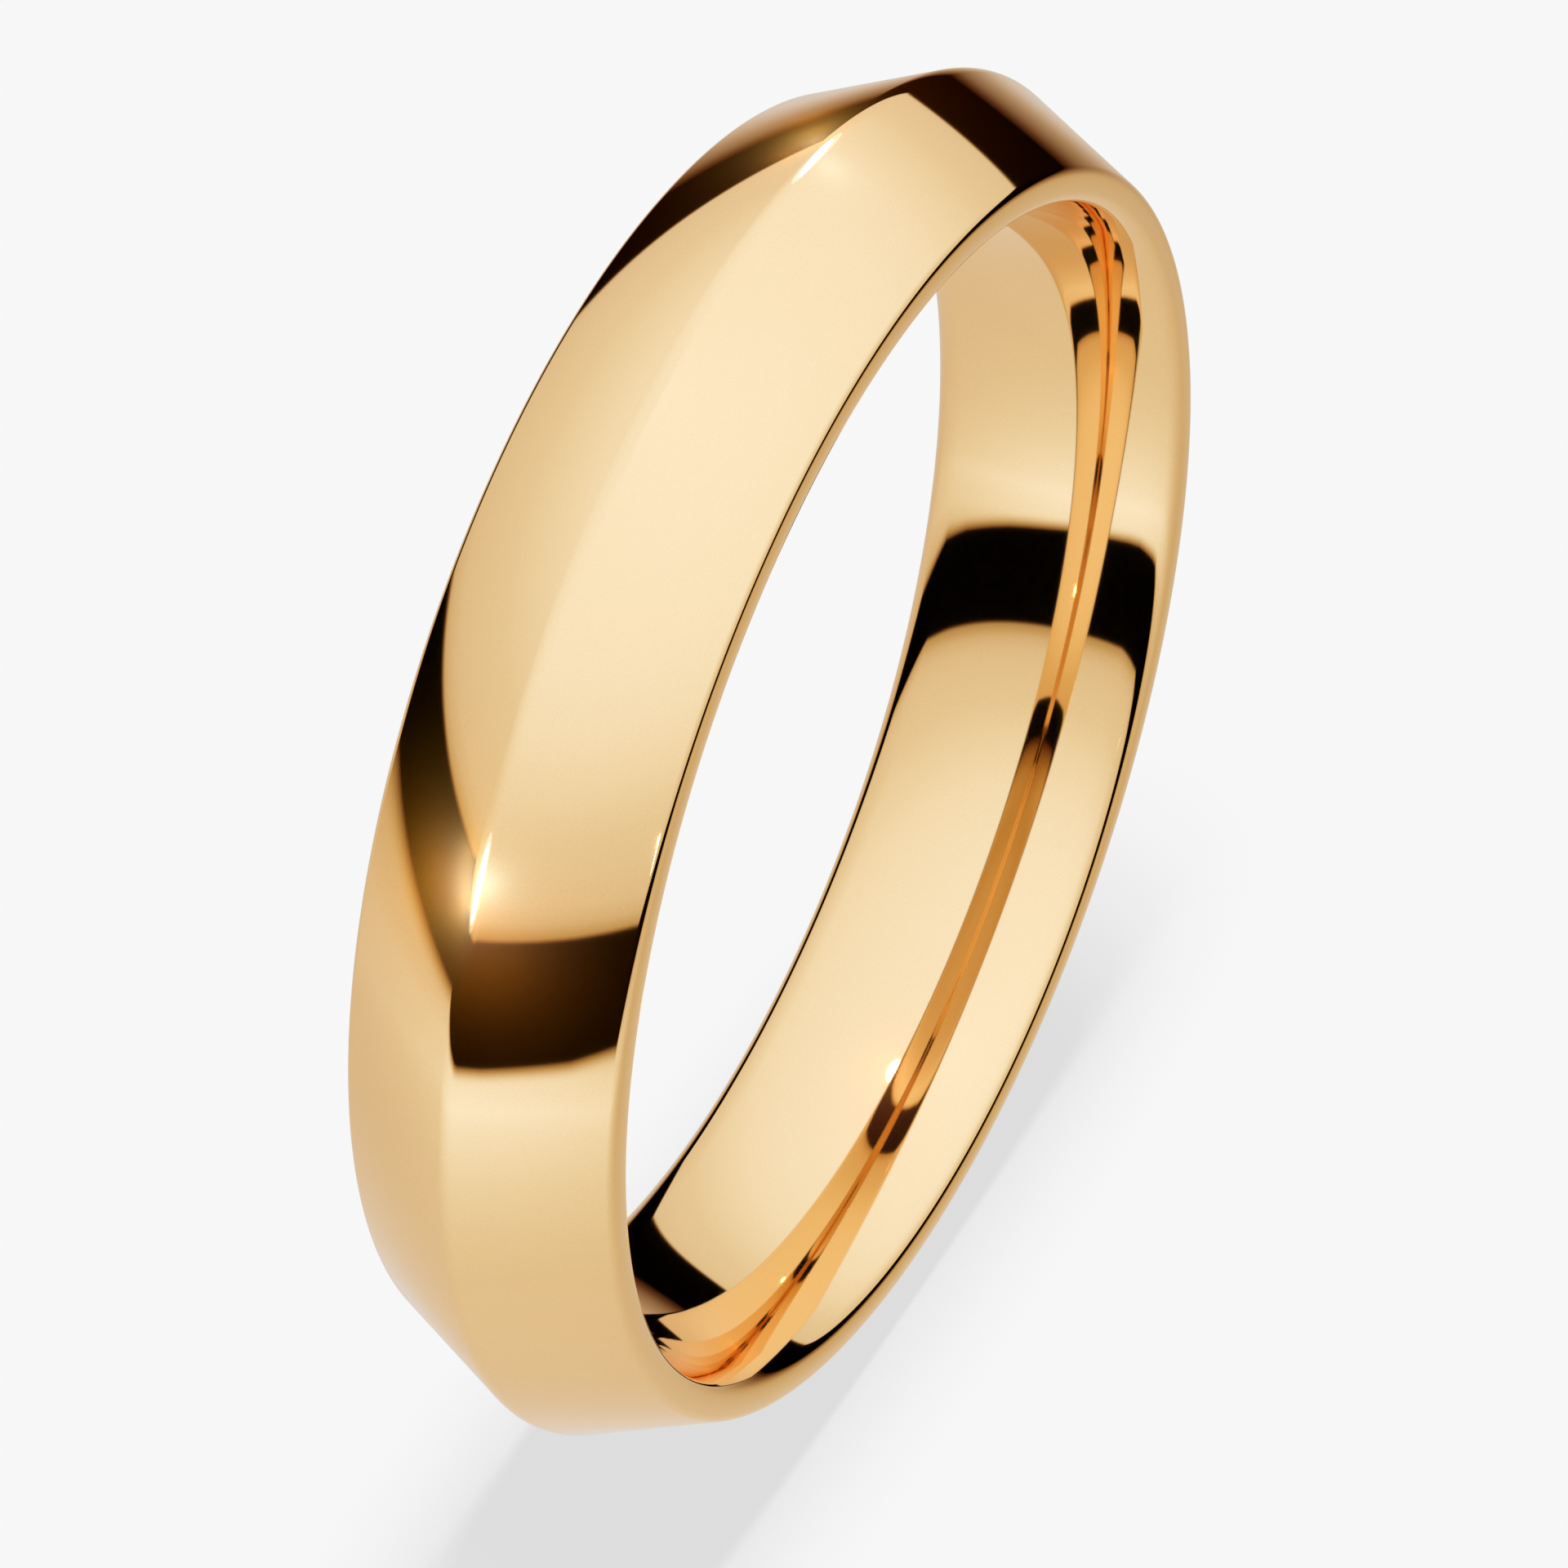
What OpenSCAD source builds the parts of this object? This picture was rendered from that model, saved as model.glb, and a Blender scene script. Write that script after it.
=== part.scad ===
// Ridge-topped wedding band, turned from one piece of metal about its own axis.
// The axis lies along Y, and the centre of the bore is at the origin.

/* [Finger size] */

// Diameter of the bore at its narrowest, across the sizing land
bore_diameter = 18.7; // [17:0.1:21]

// Length along the axis of the straight sizing land in the middle of the bore
land_length = 0.4; // [0.2:0.1:0.8]

// Radius of the barrel curve that opens the bore towards each side
bore_crown = 5.78; // [5.2:0.02:7]

/* [Outside] */

// Width of the band along its axis
band_width = 4.5; // [4.1:0.1:4.8]

// Wall from the sizing land out to the crest of the ridge
ridge_wall = 1.94; // [1.8:0.02:2.4]

// Slope of each bevel away from the axis, in degrees
bevel_angle = 24.8; // [21:0.2:26.6]

/* [Rounding] */

// Radius along the crest of the ridge
ridge_round = 0.32; // [0.1:0.02:0.6]

// Radius where each bevel turns into its side face
edge_round = 0.17; // [0.08:0.01:0.3]

// Radius where each side face turns into the bore
lip_round = 0.18; // [0.08:0.01:0.3]

/* [Hidden] */

// Names of the separate pieces, and the one to draw

// Fineness of the drawn curves
$fa = 2;
$fs = 0.02;

// How far each small arc stands past the faces beside it, so that they join
overlap = 0.0005;

bore_radius = bore_diameter / 2;
half_width = band_width / 2;
gold = [0.89, 0.74, 0.5];

// The barrel curve's centre, set so that the curve meets both ends of the land
crown_centre = bore_radius + sqrt(pow(bore_crown, 2) - pow(land_length / 2, 2));

// Ridge arc: its centre, and where it meets a bevel
ridge_centre = bore_radius + ridge_wall - ridge_round;
ridge_x = ridge_centre + ridge_round * cos(bevel_angle);
ridge_y = ridge_round * sin(bevel_angle);

// Where the bevels would meet each other and a side face if nothing were rounded
sharp_ridge = ridge_centre + ridge_round / cos(bevel_angle);
sharp_edge = sharp_ridge - half_width * tan(bevel_angle);

// Edge arc: its centre, and where it meets the bevel
edge_centre = sharp_edge - edge_round * (1 - sin(bevel_angle)) / cos(bevel_angle);
edge_level = half_width - edge_round;
edge_x = edge_centre + edge_round * cos(bevel_angle);
edge_y = edge_level + edge_round * sin(bevel_angle);

// Lip arc: its centre, and where it meets the barrel curve
lip_level = half_width - lip_round;
lip_reach = bore_crown - lip_round;
lip_centre = crown_centre - sqrt(pow(lip_reach, 2) - pow(lip_level, 2));
lip_x = crown_centre - (crown_centre - lip_centre) * bore_crown / lip_reach;
lip_y = lip_level * bore_crown / lip_reach;

// Draws its children and their mirror image on the other side of the band
module both_sides() {
    children();
    mirror([0, 1]) children();
}

// Cross-section with its corners cut back to where the arcs start
module section_core() {
    polygon([
        [bore_radius, -lip_y],
        [lip_x, -lip_y],
        [lip_centre, -half_width],
        [edge_centre, -half_width],
        [edge_x, -edge_y],
        [ridge_x, -ridge_y],
        [ridge_centre, 0],
        [ridge_x, ridge_y],
        [edge_x, edge_y],
        [edge_centre, half_width],
        [lip_centre, half_width],
        [lip_x, lip_y],
        [bore_radius, lip_y]
    ]);
}

// Cross-section of the band: radius along X, its width along Y
module band_section() {
    intersection() {
        section_core();
        translate([crown_centre, 0]) circle(r = bore_crown);
    }
    translate([ridge_centre, 0]) circle(r = ridge_round + overlap);
    both_sides() {
        translate([edge_centre, edge_level]) circle(r = edge_round + overlap);
        translate([lip_centre, lip_level]) circle(r = lip_round + overlap);
    }
}

// The whole band, with its axis turned from Z to Y
module band() {
    color(gold)
        rotate([-90, 0, 0])
            rotate_extrude()
                band_section();
}

band();
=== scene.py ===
"""A wedding band in polished yellow gold, with two bevels that meet in a soft ridge.

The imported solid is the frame. Its one node is shown here as a finer mesh of the same
outline, because a mirror finish shows every facet of a coarse one.
"""

import logging
import math
from dataclasses import dataclass, field, replace
from enum import Enum
from typing import Any, Union

import bpy
import numpy as np
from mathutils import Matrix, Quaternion, Vector


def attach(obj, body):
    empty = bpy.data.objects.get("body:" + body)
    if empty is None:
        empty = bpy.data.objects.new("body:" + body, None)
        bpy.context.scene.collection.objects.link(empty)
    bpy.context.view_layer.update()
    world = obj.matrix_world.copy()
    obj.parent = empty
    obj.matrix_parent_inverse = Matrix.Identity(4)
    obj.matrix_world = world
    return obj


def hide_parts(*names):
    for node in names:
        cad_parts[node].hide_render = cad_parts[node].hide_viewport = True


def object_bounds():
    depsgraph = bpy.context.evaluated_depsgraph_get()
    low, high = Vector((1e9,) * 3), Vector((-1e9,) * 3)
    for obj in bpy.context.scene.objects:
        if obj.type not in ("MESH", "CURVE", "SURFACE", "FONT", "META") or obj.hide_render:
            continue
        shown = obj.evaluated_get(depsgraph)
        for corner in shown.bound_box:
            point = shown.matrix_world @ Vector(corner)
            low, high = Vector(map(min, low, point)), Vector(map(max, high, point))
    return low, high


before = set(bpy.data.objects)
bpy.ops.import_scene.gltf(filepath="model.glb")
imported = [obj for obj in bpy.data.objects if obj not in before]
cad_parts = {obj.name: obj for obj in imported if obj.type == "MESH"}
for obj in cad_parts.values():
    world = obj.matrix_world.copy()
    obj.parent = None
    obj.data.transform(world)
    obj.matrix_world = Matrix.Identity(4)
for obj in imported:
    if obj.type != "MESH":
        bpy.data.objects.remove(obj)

CAD_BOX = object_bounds()
MM = 0.001
MILLIWATT = 0.001
QUARTER_TURN = 90.0
HALF_TURN = 180.0
FULL_TURN = 360.0

Number = Union[int, float]
Colour = tuple[float, float, float]
Point = tuple[float, float, float]
Table = tuple[tuple[float, float], ...]

log = logging.getLogger("wedding_band")


class Tangent(Enum):
    """Which way a straight stroke of the outline runs on from the last arc."""

    ALONG_BEVEL = "bevel"
    ALONG_SIDE = "side"


class Socket:
    """A node's output, so that shader maths reads as plain arithmetic."""

    def __init__(self, bench: "Bench", link: bpy.types.NodeSocket) -> None:
        """Keeps the output and the bench that holds its node.

        Args:
            bench: The node tree's maker.
            link: The output that the value comes from.
        """
        self.bench = bench
        self.link = link

    def _math(self, operation: str, *values: Union["Socket", Number]) -> "Socket":
        """Adds one Math node.

        Args:
            operation: The Math node's operation.
            values: Its inputs, in order.

        Returns:
            The node's result.
        """
        return self.bench.make("Math", {"operation": operation}, dict(enumerate(values)))

    def __add__(self, other: Union["Socket", Number]) -> "Socket":
        """The sum."""
        return self._math("ADD", self, other)

    def __radd__(self, other: Number) -> "Socket":
        """The sum, with the number first."""
        return self._math("ADD", other, self)

    def __sub__(self, other: Union["Socket", Number]) -> "Socket":
        """The difference."""
        return self._math("SUBTRACT", self, other)

    def __rsub__(self, other: Number) -> "Socket":
        """The difference, with the number first."""
        return self._math("SUBTRACT", other, self)

    def __mul__(self, other: Union["Socket", Number]) -> "Socket":
        """The product."""
        return self._math("MULTIPLY", self, other)

    def __rmul__(self, other: Number) -> "Socket":
        """The product, with the number first."""
        return self._math("MULTIPLY", other, self)

    def __truediv__(self, other: Union["Socket", Number]) -> "Socket":
        """The quotient."""
        return self._math("DIVIDE", self, other)

    def __rtruediv__(self, other: Number) -> "Socket":
        """The quotient, with the number first."""
        return self._math("DIVIDE", other, self)

    def __pow__(self, other: Union["Socket", Number]) -> "Socket":
        """The power."""
        return self._math("POWER", self, other)

    def __rpow__(self, other: Number) -> "Socket":
        """The power, with the number first."""
        return self._math("POWER", other, self)

    def __neg__(self) -> "Socket":
        """The value with its sign turned."""
        return self._math("MULTIPLY", self, -1.0)

    def angle(self, other: "Socket") -> "Socket":
        """The angle in degrees whose sine is this value's share and whose cosine the other's."""
        return self._math("ARCTAN2", self, other) * math.degrees(1.0)

    def arcsine(self) -> "Socket":
        """The angle in degrees whose sine this is."""
        return self._math("ARCSINE", self) * math.degrees(1.0)

    def root(self) -> "Socket":
        """The square root."""
        return self._math("SQRT", self)


class Bench:
    """A node tree under construction."""

    def __init__(self, tree: bpy.types.NodeTree) -> None:
        """Clears the tree.

        Args:
            tree: The node tree of a material or a world.
        """
        self.tree = tree
        tree.nodes.clear()

    def make(
        self,
        kind: str,
        settings: Union[dict[str, Any], None] = None,
        sockets: Union[dict[Union[str, int], Any], None] = None,
        out: Union[str, int] = 0,
    ) -> Socket:
        """Adds a node, sets it up and joins it to others.

        Args:
            kind: The node's type without its ShaderNode prefix.
            settings: Values on the node itself, set first. stops fills a colour ramp.
            sockets: A value or another node's output for each input, by name or place.
            out: The output to hand back, by name or place.

        Returns:
            The chosen output.
        """
        node = self.tree.nodes.new("ShaderNode" + kind)
        for name, value in (settings or {}).items():
            if name == "stops":
                self._fill_ramp(node.color_ramp, value)
            else:
                setattr(node, name, value)
        for name, value in (sockets or {}).items():
            if isinstance(value, Socket):
                self.tree.links.new(value.link, node.inputs[name])
            else:
                node.inputs[name].default_value = value
        return Socket(self, node.outputs[out] if node.outputs else None)

    @staticmethod
    def _fill_ramp(ramp: bpy.types.ColorRamp, stops: list[tuple[float, Colour]]) -> None:
        """Gives a colour ramp its stops.

        Args:
            ramp: The ramp to fill.
            stops: Pairs of a place from 0 to 1 and a colour, in rising order.
        """
        for _ in range(len(stops) - len(ramp.elements)):
            ramp.elements.new(1.0)
        for element, (place, colour) in zip(ramp.elements, stops):
            element.position = place
            element.color = (*colour, 1.0)

    def split(self, vector: Socket) -> tuple[Socket, Socket, Socket]:
        """Parts a vector into its three numbers.

        Args:
            vector: A vector output.

        Returns:
            The numbers along X, Y and Z.
        """
        node = self.make("SeparateXYZ", None, {0: vector}).link.node
        return tuple(Socket(self, node.outputs[i]) for i in range(3))

    def step(self, value: Socket, low: float, high: float) -> Socket:
        """A smooth rise from 0 to 1.

        Args:
            value: The number that rises.
            low: Where the rise begins.
            high: Where it ends.

        Returns:
            The share of the rise, held between 0 and 1.
        """
        return self.make(
            "MapRange",
            {"interpolation_type": "SMOOTHSTEP"},
            {"Value": value, "From Min": low, "From Max": high},
        )

    def curve(self, value: Socket, stops: list[tuple[float, float]]) -> Socket:
        """A number that follows stops.

        Args:
            value: Where to read the curve, from 0 to 1.
            stops: Pairs of a place from 0 to 1 and the number there.

        Returns:
            The number between the stops.
        """
        return self.make("ValToRGB", {"stops": [(at, (v,) * 3) for at, v in stops]}, {0: value})

    def hold(self, value: Socket) -> Socket:
        """Keeps a number between 0 and 1."""
        return self.make("Clamp", None, {0: value})

    def blend(self, share: Socket, first: Any, second: Any, way: str = "MIX") -> Socket:
        """Mixes two colours.

        Args:
            share: How much of the second colour shows, from 0 to 1.
            first: A colour output, or a colour's three numbers.
            second: The other colour.
            way: The Mix node's blend type.

        Returns:
            The mixed colour.
        """
        whole = [c if isinstance(c, Socket) else (*c, 1.0) for c in (first, second)]
        return self.make(
            "Mix",
            {"data_type": "RGBA", "blend_type": way},
            {0: share, 6: whole[0], 7: whole[1]},
            out=2,
        )


@dataclass(frozen=True)
class PolishedGold:
    """Yellow gold, worked to a mirror on a buffing wheel.

    A little of it takes light as a matt surface does, so that the haze round a glint shows.
    """

    tone: Colour = (0.965, 0.672, 0.328)
    deep_tone: Colour = (0.885, 0.618, 0.302)
    metal_share: float = 0.995
    roughness: float = 0.038
    roughness_spread: float = 0.010
    cloud_scale: float = 160.0
    cloud_detail: float = 3.0
    grain_scale: float = 40000.0
    grain_detail: float = 1.0

    def material(self) -> bpy.types.Material:
        """Builds the finish.

        Returns:
            The material, for every face of the band.
        """
        made = bpy.data.materials.new("polished_gold")
        made.use_nodes = True
        bench = Bench(made.node_tree)
        place = bench.make("TexCoord", out="Object")
        cloud, grain = (
            bench.make("TexNoise", None, {"Vector": place, "Scale": scale, "Detail": detail})
            for scale, detail in (
                (self.cloud_scale, self.cloud_detail),
                (self.grain_scale, self.grain_detail),
            )
        )
        tone = bench.blend(grain, self.tone, self.deep_tone)
        rough = self.roughness + (cloud - 0.5) * self.roughness_spread
        gold = bench.make(
            "BsdfPrincipled",
            None,
            {"Base Color": tone, "Metallic": self.metal_share, "Roughness": rough},
        )
        bench.make("OutputMaterial", None, {"Surface": gold})
        return made


@dataclass
class Band:
    """The band: half an outline drawn once, mirrored and spun round the finger's axis.

    A point of the outline is given by its radius and by its depth, the distance from the
    middle of the band towards a rim. The bore's barrel curve runs on across the short
    sizing land in its middle, and lies less than 0.004 mm inside it there.
    """

    bore_radius: float = 9.35 * MM
    land_length: float = 0.4 * MM
    bore_crown: float = 5.78 * MM
    half_width: float = 2.25 * MM
    ridge_wall: float = 1.94 * MM
    bevel_angle: float = math.radians(24.8)
    ridge_round: float = 0.32 * MM
    edge_round: float = 0.17 * MM
    lip_round: float = 0.18 * MM

    # How far the polish leans from the radius, at the two ends of each stretch
    bevel_lean: tuple[float, float] = (math.radians(16.1), math.radians(32.6))
    side_lean: tuple[float, float] = (math.radians(81.9), math.radians(98.5))
    lip_lean: tuple[float, float] = (math.radians(152.5), math.radians(139.5))

    # Depths up to which the bore's polish follows the cut, and from which it is a lip's
    true_bore: float = 1.75 * MM
    lip_start: float = 2.05 * MM

    round_steps: int = 12
    bore_steps: int = 42
    turns: int = 360
    mirror_gap: float = 0.001 * MM
    weld_gap: float = 0.0005 * MM
    finish: PolishedGold = field(default_factory=PolishedGold)

    @property
    def crest_radius(self) -> float:
        """The radius of the ridge's crest."""
        return self.bore_radius + self.ridge_wall

    @property
    def ridge_centre(self) -> tuple[float, float]:
        """The centre of the ridge's arc."""
        return self.crest_radius - self.ridge_round, 0.0

    @property
    def edge_centre(self) -> tuple[float, float]:
        """Finds the centre of the arc between a bevel and its side face, which touches both.

        Returns:
            The centre's radius and depth.
        """
        depth = self.half_width - self.edge_round
        drop = self.ridge_round - self.edge_round - depth * math.sin(self.bevel_angle)
        return self.ridge_centre[0] + drop / math.cos(self.bevel_angle), depth

    @property
    def crown_centre(self) -> tuple[float, float]:
        """The centre of the bore's barrel curve, which meets both ends of the sizing land."""
        return self.bore_radius + math.sqrt(self.bore_crown**2 - (self.land_length / 2.0) ** 2), 0.0

    @property
    def lip_centre(self) -> tuple[float, float]:
        """Finds the centre of the lip's arc, which touches the side face and the barrel curve.

        Returns:
            The centre's radius and depth.
        """
        depth = self.half_width - self.lip_round
        reach = self.bore_crown - self.lip_round
        return self.crown_centre[0] - math.sqrt(reach**2 - depth**2), depth

    @property
    def bevel_span(self) -> tuple[float, float]:
        """The depths at which a bevel starts, by the ridge, and ends, by the rim."""
        rise = math.sin(self.bevel_angle)
        return self.ridge_round * rise, self.edge_centre[1] + self.edge_round * rise

    @property
    def crown_angle(self) -> float:
        """The angle of half the bore's barrel curve."""
        return math.atan2(self.lip_centre[1], self.crown_centre[0] - self.lip_centre[0])

    def build(self) -> bpy.types.Object:
        """Models and dresses the band.

        Returns:
            The band's object.
        """
        piece = self._start()
        self._draw_half_outline()
        self._mirror(piece)
        self._spin_round()
        self._ease_polish(piece)
        piece.data.materials.append(self.finish.material())
        return piece

    def _start(self) -> bpy.types.Object:
        """Adds a small plane and merges it to one point on the ridge.

        Returns:
            The new object, in edit mode with its one point selected.
        """
        bpy.ops.object.select_all(action="DESELECT")
        bpy.ops.mesh.primitive_plane_add(size=MM)
        piece = bpy.context.object
        piece.name = piece.data.name = "gold_band"
        bpy.ops.object.mode_set(mode="EDIT")
        bpy.ops.mesh.select_all(action="SELECT")
        bpy.ops.mesh.merge(type="CENTER")
        bpy.ops.mesh.select_all(action="SELECT")
        bpy.ops.transform.translate(value=(self.crest_radius, 0.0, 0.0))
        return piece

    def _arc(self, centre: tuple[float, float], angle: float, steps: int) -> None:
        """Draws on from the last point along an arc.

        Args:
            centre: The arc's centre: its radius and its depth towards the near rim.
            angle: How far it turns, in radians.
            steps: How many edges it has.
        """
        bpy.ops.mesh.spin(
            steps=steps, angle=angle, center=(centre[0], -centre[1], 0.0), axis=(0.0, 0.0, 1.0)
        )

    def _line(self, run: Tangent, length: float) -> None:
        """Draws on along a straight stroke.

        Args:
            run: Which way the stroke goes.
            length: Its whole length.
        """
        way = {
            Tangent.ALONG_BEVEL: (-math.sin(self.bevel_angle), -math.cos(self.bevel_angle)),
            Tangent.ALONG_SIDE: (-1.0, 0.0),
        }[run]
        bpy.ops.mesh.extrude_region_move(
            TRANSFORM_OT_translate={"value": (way[0] * length, way[1] * length, 0.0)}
        )

    def _draw_half_outline(self) -> None:
        """Draws the near half of the outline, from the ridge round to the bore's middle."""
        bevel_start, bevel_end = self.bevel_span
        square = math.pi / 2.0
        self._arc(self.ridge_centre, self.bevel_angle, self.round_steps)
        self._line(Tangent.ALONG_BEVEL, (bevel_end - bevel_start) / math.cos(self.bevel_angle))
        self._arc(self.edge_centre, square - self.bevel_angle, self.round_steps)
        self._line(Tangent.ALONG_SIDE, self.edge_centre[0] - self.lip_centre[0])
        self._arc(self.lip_centre, square - self.crown_angle, self.round_steps)
        self._arc(self.crown_centre, self.crown_angle, self.bore_steps)

    def _mirror(self, piece: bpy.types.Object) -> None:
        """Makes the far half from the near one.

        Args:
            piece: The object that holds the outline.
        """
        bpy.ops.object.mode_set(mode="OBJECT")
        mirror = piece.modifiers.new("far_half", "MIRROR")
        mirror.use_axis = (False, True, False)
        mirror.use_mirror_merge = True
        mirror.merge_threshold = self.mirror_gap
        bpy.ops.object.modifier_apply(modifier=mirror.name)

    def _spin_round(self) -> None:
        """Spins the outline round the bore's axis and closes it."""
        bpy.ops.object.mode_set(mode="EDIT")
        bpy.ops.mesh.select_all(action="SELECT")
        bpy.ops.mesh.spin(
            steps=self.turns, angle=math.tau, center=(0.0, 0.0, 0.0), axis=(0.0, 1.0, 0.0)
        )
        bpy.ops.mesh.select_all(action="SELECT")
        bpy.ops.mesh.remove_doubles(threshold=self.weld_gap)
        bpy.ops.mesh.normals_make_consistent(inside=False)
        bpy.ops.object.mode_set(mode="OBJECT")
        bpy.ops.object.shade_smooth()

    def _lean(self, radius: float, depth: float) -> float:
        """How far the polish leans from the radius at a point of the outline.

        A buffing wheel eases every edge, so the lean runs evenly across a bevel
        and a rim, where the cut itself is flat.

        Args:
            radius: The point's distance from the bore's axis.
            depth: Its distance from the middle of the band.

        Returns:
            The angle, from 0 on the ridge to half a turn in the bore's middle.
        """
        bevel, square, crown = self.bevel_angle, math.pi / 2.0, math.pi - self.crown_angle
        if radius >= self.edge_centre[0]:
            if depth <= self.bevel_span[1]:
                turn = math.asin(min(1.0, depth / self.ridge_round))
                if turn < bevel:
                    return turn * self.bevel_lean[0] / bevel
                return float(np.interp(depth, self.bevel_span, self.bevel_lean))
            turn = math.atan2(depth - self.edge_centre[1], radius - self.edge_centre[0])
            return float(np.interp(turn, (bevel, square), (self.bevel_lean[1], self.side_lean[0])))
        if radius > self.lip_centre[0]:
            span = (self.lip_centre[0], self.edge_centre[0])
            return float(np.interp(radius, span, self.side_lean[::-1]))
        turn = math.atan2(depth - self.lip_centre[1], radius - self.lip_centre[0])
        if square <= turn <= crown:
            return float(np.interp(turn, (square, crown), (self.side_lean[1], self.lip_lean[1])))
        true_lean = math.pi - math.asin(min(depth, self.true_bore) / self.bore_crown)
        crown_end = self.bore_crown * math.sin(self.crown_angle)
        depths = (self.true_bore, self.lip_start, crown_end)
        return float(np.interp(depth, depths, (true_lean, *self.lip_lean)))

    def _ease_polish(self, piece: bpy.types.Object) -> None:
        """Sets the normals that the mirror polish shows.

        Args:
            piece: The spun band.
        """
        normals = []
        for point in piece.data.vertices:
            radius = math.hypot(point.co.x, point.co.z)
            lean = self._lean(radius, abs(point.co.y))
            out = math.cos(lean) / radius
            along = math.copysign(math.sin(lean), point.co.y)
            normals.append((point.co.x * out, along, point.co.z * out))
        piece.data.normals_split_custom_set_from_vertices(normals)


def pointing(azimuth: float, elevation: float) -> Vector:
    """The way to a place in the tent, by its angle round from the front and its height in degrees."""
    around, up = math.radians(azimuth), math.radians(elevation)
    return Vector((math.sin(around) * math.cos(up), -math.cos(around) * math.cos(up), math.sin(up)))


def height_share(height: Union[Socket, float]) -> Union[Socket, float]:
    """Where a height in degrees lies between straight down, 0, and straight up, 1."""
    return (height + QUARTER_TURN) / HALF_TURN


def height_of(share: Socket) -> Socket:
    """The height in degrees at a share of the way from straight down to straight up."""
    return share * HALF_TURN - QUARTER_TURN


def turn_share(azimuth: Union[Socket, float]) -> Union[Socket, float]:
    """Where an azimuth in degrees lies on the way round from the back, 0, to the back again, 1."""
    return (azimuth + HALF_TURN) / FULL_TURN


def light_only(lamp: bpy.types.Object, piece: bpy.types.Object) -> None:
    """Keeps a lamp's light to one object.

    Args:
        lamp: The lamp.
        piece: The object that it lights.
    """
    lit = bpy.data.collections.new(lamp.name + "_lights")
    lit.objects.link(piece)
    lamp.light_linking.receiver_collection = lit


def hang(data: bpy.types.Light) -> bpy.types.Object:
    """Adds a lamp to the scene, out of the camera's sight.

    Args:
        data: The lamp's light.

    Returns:
        The lamp's object.
    """
    lamp = bpy.data.objects.new(data.name, data)
    bpy.context.scene.collection.objects.link(lamp)
    lamp.visible_camera = False
    return lamp


@dataclass(frozen=True)
class Sparkle:
    """A small lamp that the polish mirrors as a glint.

    It points at a spot on the band. Lengths are in millimetres and angles in degrees,
    and the radiance is what the lamp shows along its beam.
    """

    name: str
    spot: Point
    azimuth: float
    elevation: float
    distance: float
    size: tuple[float, float]
    radiance: float
    spread: float
    roll: float = 0.0
    tint: Colour = (1.0, 0.9, 0.75)

    def build(self) -> bpy.types.Object:
        """Hangs the lamp and points it at its spot.

        Returns:
            The lamp's object.
        """
        width, height = (side * MM for side in self.size)
        half = math.radians(self.spread) / 2.0
        narrowing = 1.0 - half / math.tan(half)
        data = bpy.data.lights.new(self.name, "AREA")
        data.shape = "ELLIPSE"
        data.size, data.size_y = width, height
        data.spread = math.radians(self.spread)
        data.color = self.tint
        data.energy = self.radiance * math.pi * (math.pi / 4.0 * width * height) * narrowing
        lamp = hang(data)
        way = pointing(self.azimuth, self.elevation)
        lamp.location = (Vector(self.spot) + way * self.distance) * MM
        lamp.rotation_mode = "QUATERNION"
        turn = Quaternion((0.0, 0.0, 1.0), math.radians(self.roll))
        lamp.rotation_quaternion = (-way).to_track_quat("-Z", "Y") @ turn
        lamp.visible_diffuse = False
        return lamp


@dataclass(frozen=True)
class Glow:
    """A weak lamp close to the gold, for the haze that a glint spreads. Its place is in millimetres."""

    name: str
    place: Point
    milliwatts: float
    tint: Colour
    radius: float = 0.05

    def build(self, band: bpy.types.Object) -> bpy.types.Object:
        """Hangs the lamp so that it lights the band alone.

        Args:
            band: The band's object.

        Returns:
            The lamp's object.
        """
        data = bpy.data.lights.new(self.name, "POINT")
        data.energy = self.milliwatts * MILLIWATT
        data.color = self.tint
        data.shadow_soft_size = self.radius * MM
        lamp = hang(data)
        lamp.location = Vector(self.place) * MM
        lamp.visible_glossy = False
        light_only(lamp, band)
        return lamp


@dataclass(frozen=True)
class Viewpoint:
    """The camera at the photograph's angle, with its lens and sensor in millimetres."""

    place: Point = (-0.06985, -0.03548, 0.06782)
    aim: Point = (0.67120, 0.34268, -0.65731)
    lens: float = 150.0
    sensor: float = 36.0
    clip: tuple[float, float] = (0.005, 10.0)

    def build(self) -> bpy.types.Object:
        """Sets up the camera.

        Returns:
            The camera's object.
        """
        data = bpy.data.cameras.new("camera")
        data.lens = self.lens
        data.sensor_width = self.sensor
        data.clip_start, data.clip_end = self.clip
        camera = bpy.data.objects.new("camera", data)
        bpy.context.scene.collection.objects.link(camera)
        camera.location = self.place
        camera.rotation_mode = "QUATERNION"
        camera.rotation_quaternion = Vector(self.aim).to_track_quat("-Z", "Y")
        bpy.context.scene.camera = camera
        return camera


WHITE = (1.0, 1.0, 1.0)
COOL = (0.2, 0.5, 1.0)
HAZE = (0.22, 0.5, 1.0)

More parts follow.
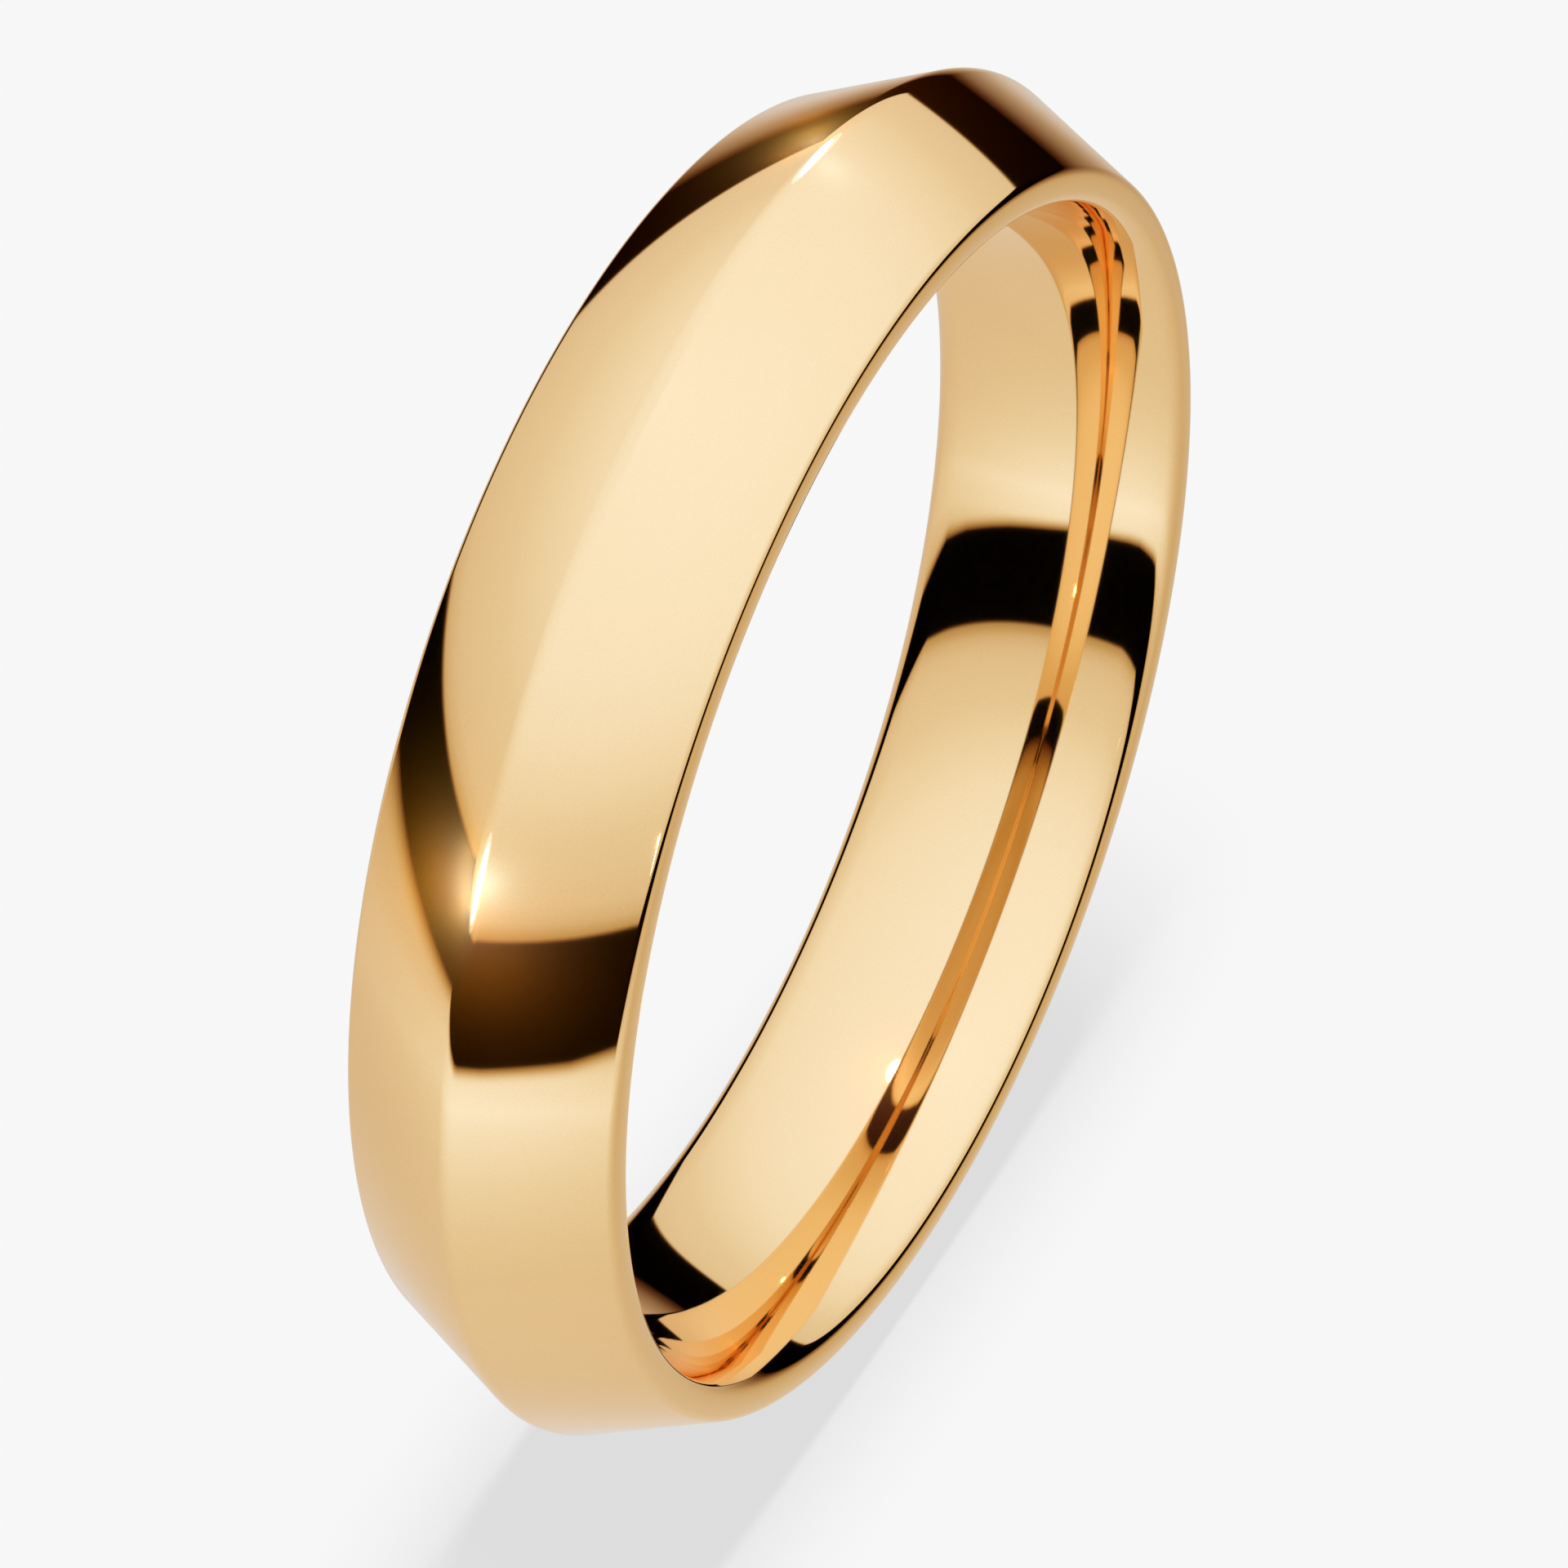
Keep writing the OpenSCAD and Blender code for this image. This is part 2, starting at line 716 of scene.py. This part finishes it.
LEFT_LAMP = Sparkle(
    name="lamp_left",
    spot=(-9.94, 0.0, 5.34),
    azimuth=-110.0,
    elevation=10.0,
    distance=4.0,
    size=(1.3, 2.0),
    radiance=118.0,
    spread=30.0,
)
TOP_LAMP = Sparkle(
    name="lamp_top",
    spot=(0.62, 0.0, 11.27),
    azimuth=114.0,
    elevation=30.0,
    distance=4.0,
    size=(0.9, 1.7),
    radiance=118.0,
    spread=30.0,
)
RIM_LAMP = Sparkle(
    name="lamp_front",
    spot=(-8.56, -2.18, 5.73),
    azimuth=-44.5,
    elevation=12.6,
    distance=100.0,
    size=(2.4, 12.0),
    radiance=25.0,
    spread=13.0,
)
BORE_LAMP = Sparkle(
    name="lamp_bore",
    spot=(2.77, -0.54, -8.95),
    azimuth=137.8,
    elevation=78.3,
    distance=25.0,
    size=(2.0, 2.9),
    radiance=21.0,
    spread=6.0,
    roll=42.8,
)
STRIP_LAMP = Sparkle(
    name="lamp_strip",
    spot=(-8.15, 0.28, -4.6),
    azimuth=105.0,
    elevation=52.0,
    distance=25.0,
    size=(1.8, 1.3),
    radiance=40.0,
    spread=5.0,
)
LOW_LAMP = Sparkle(
    name="lamp_low",
    spot=(8.16, 0.34, -4.6),
    azimuth=-147.0,
    elevation=76.5,
    distance=25.0,
    size=(1.2, 1.0),
    radiance=40.0,
    spread=3.0,
)


@dataclass
class Studio:
    """A pale tent with a dark gap round its horizon, a pale floor and small lamps.

    Lengths are in metres and angles in degrees. A Table gives a value at each height, and the
    tones give the colour at each level of light. The gap's rows give its lower edge, its upper
    edge and the reach of its fade below, at each azimuth.
    """

    pale: float = 0.930
    floor_size: float = 4.0
    shade: float = 0.22
    shade_fade: tuple[float, float] = (0.03, 0.12)
    box_place: Point = (0.05, 0.0, 0.9)
    box_size: tuple[float, float] = (0.65, 0.16)
    box_gain: float = 1.10
    warm_azimuth: float = -90.0
    warm_focus: float = 2.0
    cool_azimuth: float = 130.0
    cool_focus: float = 6.0
    cool_tone: Colour = (0.28, 0.45, 1.0)
    front_lift: float = 0.02
    front_rise: tuple[float, float] = (12.0, 32.0)
    gap_edge: float = 0.5
    gap_focus: float = 3.0
    pole_guard: float = 1e-6
    bounces: int = 24
    levels: Table = (
        (-90.0, 0.78),
        (-65.0, 0.765),
        (-50.0, 0.73),
        (-40.0, 0.68),
        (-30.0, 0.645),
        (-10.0, 0.66),
        (2.0, 0.42),
        (4.0, 0.62),
        (5.5, 0.73),
        (8.0, 0.80),
        (12.0, 0.83),
        (18.0, 0.86),
        (25.0, 0.92),
        (35.0, 0.985),
        (45.0, 1.015),
        (60.0, 1.035),
        (90.0, 1.05),
    )
    low_glow: Table = (
        (-90.0, 0.01),
        (-60.0, 0.07),
        (-50.0, 0.13),
        (-40.0, 0.24),
        (-32.0, 0.335),
        (-26.0, 0.41),
        (-20.0, 0.35),
        (-10.0, 0.0),
    )
    inner_dip: Table = (
        (-90.0, 0.07),
        (-60.0, 0.08),
        (-45.0, 0.09),
        (-35.0, 0.07),
        (-25.0, 0.02),
        (-18.0, 0.0),
    )
    cool: Table = (
        (-90.0, 0.0),
        (-57.0, 0.09),
        (-45.0, 0.12),
        (-35.0, 0.18),
        (-25.0, 0.28),
        (-15.0, 0.10),
        (-8.0, 0.0),
    )
    tones: tuple[tuple[float, Colour], ...] = (
        (0.0, (0.0, 0.0, 0.0)),
        (0.04, (0.04, 0.013, 0.008)),
        (0.13, (0.13, 0.054, 0.019)),
        (0.41, (0.41, 0.27, 0.125)),
        (0.62, (0.62, 0.50, 0.305)),
        (0.77, (0.77, 0.715, 0.65)),
        (0.86, (0.86, 0.87, 0.875)),
        (0.95, (0.95, 1.04, 1.22)),
        (1.08, (1.08, 1.28, 1.78)),
    )
    gap: tuple[tuple[float, float, float, float], ...] = (
        (-180.0, -5.0, 4.5, 8.0),
        (-165.0, -8.3, 3.9, 5.5),
        (-145.0, -12.5, 2.8, 5.0),
        (-135.0, -14.8, 2.5, 4.0),
        (-120.0, -16.4, 2.5, 4.0),
        (-100.0, -17.9, 2.5, 4.0),
        (-80.0, -18.2, 2.5, 4.0),
        (-62.0, -16.9, 2.9, 4.0),
        (-30.0, -10.0, 3.8, 4.0),
        (0.0, -6.0, 4.0, 4.0),
        (50.0, -6.0, 6.0, 20.0),
        (80.0, -6.5, 9.3, 45.0),
        (105.0, -5.5, 9.5, 36.0),
        (135.0, -5.5, 7.6, 27.0),
        (150.0, -5.0, 6.2, 17.0),
        (180.0, -5.0, 4.5, 8.0),
    )
    sparkles: tuple[Sparkle, ...] = (
        LEFT_LAMP,
        TOP_LAMP,
        replace(LEFT_LAMP, name="haze_left", size=(2.4, 2.6), radiance=1.3, tint=HAZE),
        replace(TOP_LAMP, name="haze_top", size=(1.8, 2.2), radiance=1.05, tint=HAZE),
        RIM_LAMP,
        BORE_LAMP,
        STRIP_LAMP,
        LOW_LAMP,
    )
    glows: tuple[Glow, ...] = (
        Glow("core_left_low", (-10.35, 0.2, 5.2), 0.83, WHITE),
        Glow("core_left_far", (-10.1, 0.4, 5.4), 0.24, WHITE),
        Glow("core_left_high", (-9.95, 0.4, 5.7), 0.33, (1.0, 0.9, 0.6)),
        Glow("cool_left", (-10.2, -0.2, 5.5), 1.1, COOL),
        Glow("halo_left", (-10.4, 0.4, 4.9), 0.14, (1.0, 0.75, 0.0)),
        Glow("glow_left_near", (-11.2, -0.7, 4.8), 1.6, (1.0, 0.35, 0.0)),
        Glow("glow_left_far", (-10.55, 1.1, 5.3), 2.3, (1.0, 0.5, 0.0)),
        Glow("core_top", (1.25, 0.4, 11.4), 0.4, WHITE),
        Glow("cool_top", (0.65, -0.4, 11.55), 0.55, COOL),
        Glow("halo_top_low", (0.9, 0.7, 11.35), 0.25, (1.0, 0.5, 0.1)),
        Glow("halo_top_far", (1.65, 0.7, 11.45), 1.15, (1.0, 0.78, 0.3)),
        Glow("glow_top_far", (2.4, 1.1, 11.15), 0.7, (1.0, 0.5, 0.1)),
        Glow("glow_top_high", (3.3, 1.5, 15.4), 7.2, (1.0, 0.25, 0.0)),
        Glow("glow_bore", (2.62, -0.44, -8.47), 0.5, (1.0, 0.5, 0.25)),
        Glow("glow_bore_low", (1.75, -0.75, -8.45), 0.2, (1.0, 0.2, 0.15)),
    )
    viewpoint: Viewpoint = Viewpoint()

    def build(self, band: bpy.types.Object) -> None:
        """Sets the world, the floor, the lamps and the camera.

        Args:
            band: The band's object.
        """
        self._world()
        self._softbox(self._floor())
        for sparkle in self.sparkles:
            sparkle.build()
        for glow in self.glows:
            glow.build(band)
        self.viewpoint.build()
        scene = bpy.context.scene
        scene.view_settings.view_transform = "Standard"
        scene.cycles.max_bounces = scene.cycles.glossy_bounces = self.bounces
        scene.cycles.blur_glossy = 0.0
        scene.cycles.caustics_reflective = False

    def _world(self) -> None:
        """Lights the tent by direction, and keeps its backdrop pale to the camera."""
        world = bpy.data.worlds.new("tent")
        bpy.context.scene.world = world
        world.use_nodes = True
        bench = Bench(world.node_tree)
        x, y, z = bench.split(bench.make("TexCoord", out="Generated"))
        up = z.arcsine()
        height = height_share(up)
        levels, low_glow, inner_dip, cool = (
            bench.curve(height, [(height_share(at), value) for at, value in table])
            for table in (self.levels, self.low_glow, self.inner_dip, self.cool)
        )
        flat = (x * x + y * y + self.pole_guard).root()
        warm_side, cool_side = (
            ((x * math.sin(aim) - y * math.cos(aim)) / flat + 1.0) * 0.5
            for aim in (math.radians(self.warm_azimuth), math.radians(self.cool_azimuth))
        )
        front = -y / flat * bench.step(up, *self.front_rise)
        inner = bench.hold(bench.make("LightPath", out="Glossy Depth") - 1.0)
        level = levels + low_glow * warm_side**self.warm_focus + front * self.front_lift
        level = level - inner_dip * inner
        level = level * (1 - self._gap_share(bench, up, x.angle(-y)))
        top = self.tones[-1][0]
        stops = [(at / top, tone) for at, tone in self.tones]
        lit = bench.make("ValToRGB", {"stops": stops}, {0: level / top})
        cool_share = cool * cool_side**self.cool_focus * (1 - inner)
        lit = bench.blend(cool_share, lit, self.cool_tone, "ADD")
        seen = bench.make("LightPath", out="Is Camera Ray")
        light = bench.blend(seen, lit, (self.pale,) * 3)
        tent = bench.make("Background", None, {"Color": light})
        bench.make("OutputWorld", None, {"Surface": tent})
        world.cycles_visibility.diffuse = False

    def _gap_share(self, bench: Bench, up: Socket, around: Socket) -> Socket:
        """How much of the tent's light is missing in the gap round its horizon.

        Args:
            bench: The world's bench.
            up: The height in degrees.
            around: The azimuth in degrees.

        Returns:
            The missing share, from 0 to 1.
        """
        stops = [
            (turn_share(at), (height_share(low), height_share(high), fade / HALF_TURN))
            for at, low, high, fade in self.gap
        ]
        low, high, fade = bench.split(bench.make("ValToRGB", {"stops": stops}, {0: turn_share(around)}))
        below = bench.hold((height_of(low) - up) / (fade * HALF_TURN))
        above = bench.step(up - height_of(high), -self.gap_edge, self.gap_edge)
        return (1 - below) ** self.gap_focus * (1 - above)

    def _floor(self) -> bpy.types.Object:
        """Lays the floor under the band. Its shadow fades out before the plain far floor.

        Returns:
            The floor's object.
        """
        bpy.ops.object.select_all(action="DESELECT")
        bpy.ops.mesh.primitive_plane_add(size=self.floor_size, location=(0.0, 0.0, CAD_BOX[0].z))
        floor = bpy.context.object
        floor.name = floor.data.name = "floor"
        bpy.ops.object.transform_apply(location=True)
        made = bpy.data.materials.new("pale_floor")
        made.use_nodes = True
        bench = Bench(made.node_tree)
        pale = (*(self.pale,) * 3, 1.0)
        matt = bench.make("BsdfDiffuse", None, {"Color": pale})
        plain = bench.make("Emission", None, {"Color": pale})
        x, y, _ = bench.split(bench.make("TexCoord", out="Object"))
        near = 1 - bench.step((x * x + y * y).root(), *self.shade_fade)
        seen = bench.make("LightPath", out="Is Camera Ray")
        mixed = bench.make("MixShader", None, {0: seen * (1 - near * self.shade), 1: matt, 2: plain})
        bench.make("OutputMaterial", None, {"Surface": mixed})
        floor.data.materials.append(made)
        floor.visible_glossy = False
        return floor

    def _softbox(self, floor: bpy.types.Object) -> bpy.types.Object:
        """Hangs a long softbox over the band, for its shadow on the floor.

        Args:
            floor: The floor's object, which alone takes this light.

        Returns:
            The softbox's object.
        """
        data = bpy.data.lights.new("softbox", "AREA")
        data.shape = "ELLIPSE"
        data.size, data.size_y = self.box_size
        data.energy = self.box_gain * math.pi**2 * self.box_place[2] ** 2
        softbox = hang(data)
        softbox.location = self.box_place
        softbox.visible_glossy = False
        light_only(softbox, floor)
        return softbox


def main() -> None:
    """Builds the band and its studio."""
    logging.basicConfig(level=logging.INFO, format="%(message)s")
    band = Band().build()
    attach(band, "root")
    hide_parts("band")
    log.info("%s: %d faces", band.name, len(band.data.polygons))
    Studio().build(band)
    log.info("studio: floor, tent, lamps and camera")


if __name__ == "__main__":
    main()
